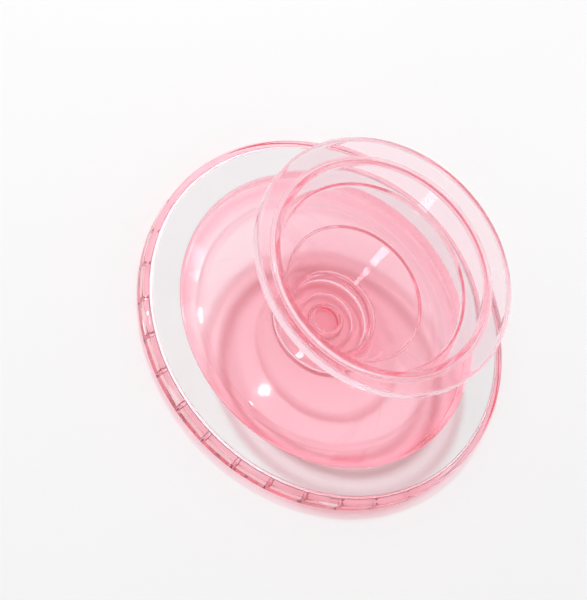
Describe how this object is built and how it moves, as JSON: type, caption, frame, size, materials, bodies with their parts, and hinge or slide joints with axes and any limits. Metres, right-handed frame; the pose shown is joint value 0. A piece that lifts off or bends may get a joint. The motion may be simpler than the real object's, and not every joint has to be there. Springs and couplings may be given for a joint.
{
  "type": "magnetic phone grip",
  "caption": "Round clear pink phone grip: a magnet-ringed base with a shallow dish, and a disc on a folding accordion funnel that pops out to hold between fingers.",
  "frame": {"origin": "centre of the pad's underside, on the face of the phone", "axes": "+Z along the grip's axis, away from the phone; a rib between two magnets faces -Y"},
  "size_m": [0.0588, 0.0588, 0.0226],
  "materials": {
    "clear_plastic": "clear pink polycarbonate, polished",
    "clear_elastomer": "clear pink thermoplastic elastomer, glossy",
    "white_cover": "opaque white, satin",
    "yoke_steel": "plain sheet steel",
    "magnet_nickel": "nickel plate",
    "pad_silicone": "translucent white silicone, satin"
  },
  "bodies": {
    "base": {"base_housing": "clear_plastic", "contact_pad": "pad_silicone", "magnet_yoke": "yoke_steel", "magnet_cover": "white_cover", "magnet_01": "magnet_nickel", "magnet_02": "magnet_nickel", "magnet_03": "magnet_nickel", "magnet_04": "magnet_nickel", "magnet_05": "magnet_nickel", "magnet_06": "magnet_nickel", "magnet_07": "magnet_nickel", "magnet_08": "magnet_nickel", "magnet_09": "magnet_nickel", "magnet_10": "magnet_nickel", "magnet_11": "magnet_nickel", "magnet_12": "magnet_nickel", "magnet_13": "magnet_nickel", "magnet_14": "magnet_nickel", "magnet_15": "magnet_nickel", "magnet_16": "magnet_nickel", "magnet_17": "magnet_nickel", "magnet_18": "magnet_nickel", "magnet_19": "magnet_nickel", "magnet_20": "magnet_nickel", "magnet_21": "magnet_nickel", "magnet_22": "magnet_nickel", "magnet_23": "magnet_nickel", "magnet_24": "magnet_nickel", "magnet_25": "magnet_nickel", "magnet_26": "magnet_nickel", "magnet_27": "magnet_nickel", "magnet_28": "magnet_nickel", "magnet_29": "magnet_nickel", "magnet_30": "magnet_nickel", "magnet_31": "magnet_nickel", "magnet_32": "magnet_nickel"},
    "grip": {"accordion": "clear_elastomer"},
    "top": {"socket_ring": "clear_plastic", "top_disc": "clear_plastic"}
  },
  "joints": [
    {"name": "grip_swivel", "type": "hinge", "parent": "base", "child": "grip", "pos_m": [0, 0, 0.00075], "axis": [0, 0, 1], "continuous": true},
    {"name": "grip_pop", "type": "slide", "parent": "grip", "child": "top", "axis": [0, 0, 1], "range_m": [-0.016, 0], "deforming": ["accordion"]}
  ]
}
